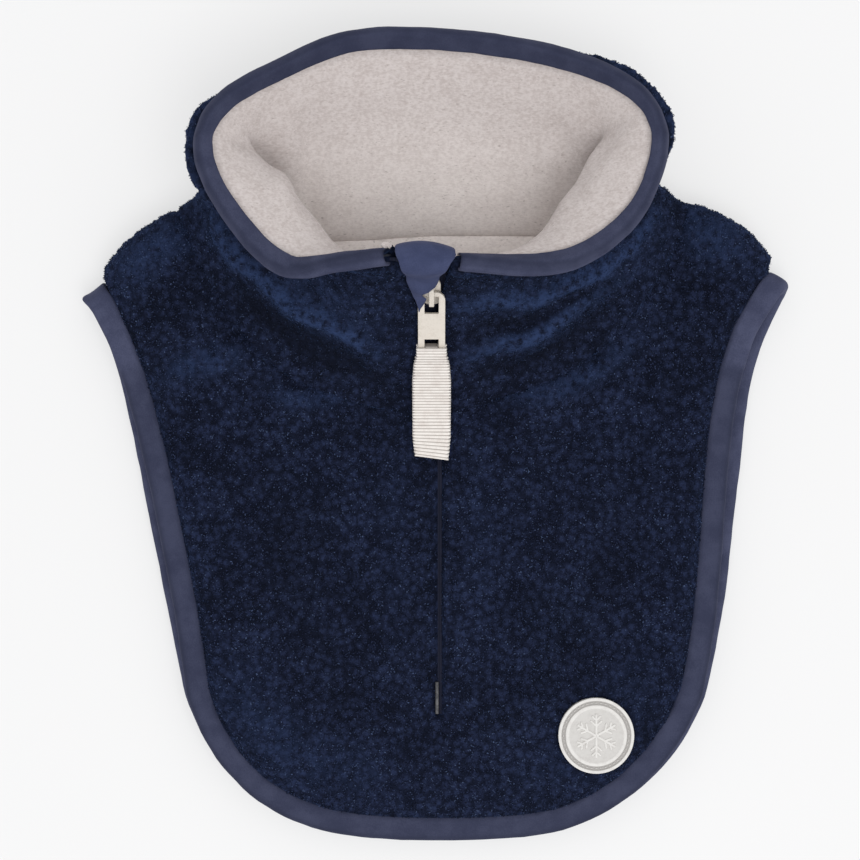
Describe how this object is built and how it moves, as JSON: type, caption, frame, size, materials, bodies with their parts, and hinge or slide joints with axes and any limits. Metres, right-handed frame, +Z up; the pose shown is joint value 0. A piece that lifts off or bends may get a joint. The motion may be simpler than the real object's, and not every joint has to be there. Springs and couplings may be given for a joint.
{
  "type": "turtleneck dickey",
  "caption": "Child's fleece dickey lying on its back: front and back bibs with bound round edges, an open stand collar, a short front zip with a hinged pull, and a round badge.",
  "frame": {"origin": "under the middle of the whole dickey, on the surface that it lies on", "axes": "+X to the right as seen from above, +Y from the hem to the collar, +Z up from the surface"},
  "size_m": [0.2072, 0.2356, 0.0579],
  "materials": {
    "teddy_fleece": "curly navy teddy fleece",
    "microfleece": "light grey microfleece",
    "jersey_binding": "smooth navy-grey jersey",
    "zip_tape": "fine dark woven tape",
    "zip_coil": "dark nylon coil",
    "stop_metal": "bright metal clip",
    "cream_metal": "cream lacquer",
    "ribbon": "ivory ribbed ribbon",
    "silicone": "matt grey-white silicone"
  },
  "bodies": {
    "garment": {"front_bib": "teddy_fleece", "back_bib": "teddy_fleece", "back_lining": "microfleece", "collar_shell": "teddy_fleece", "collar_lining": "microfleece", "rim_binding": "jersey_binding", "edge_binding": "jersey_binding", "zip_tape_left": "zip_tape", "zip_tape_right": "zip_tape", "zip_coil": "zip_coil", "zip_bottom_stop": "stop_metal", "zip_garage": "jersey_binding", "zip_slider": "cream_metal", "badge": "silicone"},
    "pull": {"pull_tab": "cream_metal", "ribbon_pull": "ribbon"}
  },
  "joints": [
    {"name": "pull_swing", "type": "hinge", "parent": "garment", "child": "pull", "pos_m": [-0.00136, 0.04082, 0.03747], "axis": [-1, 0, 0], "range_deg": [0, 85]}
  ]
}
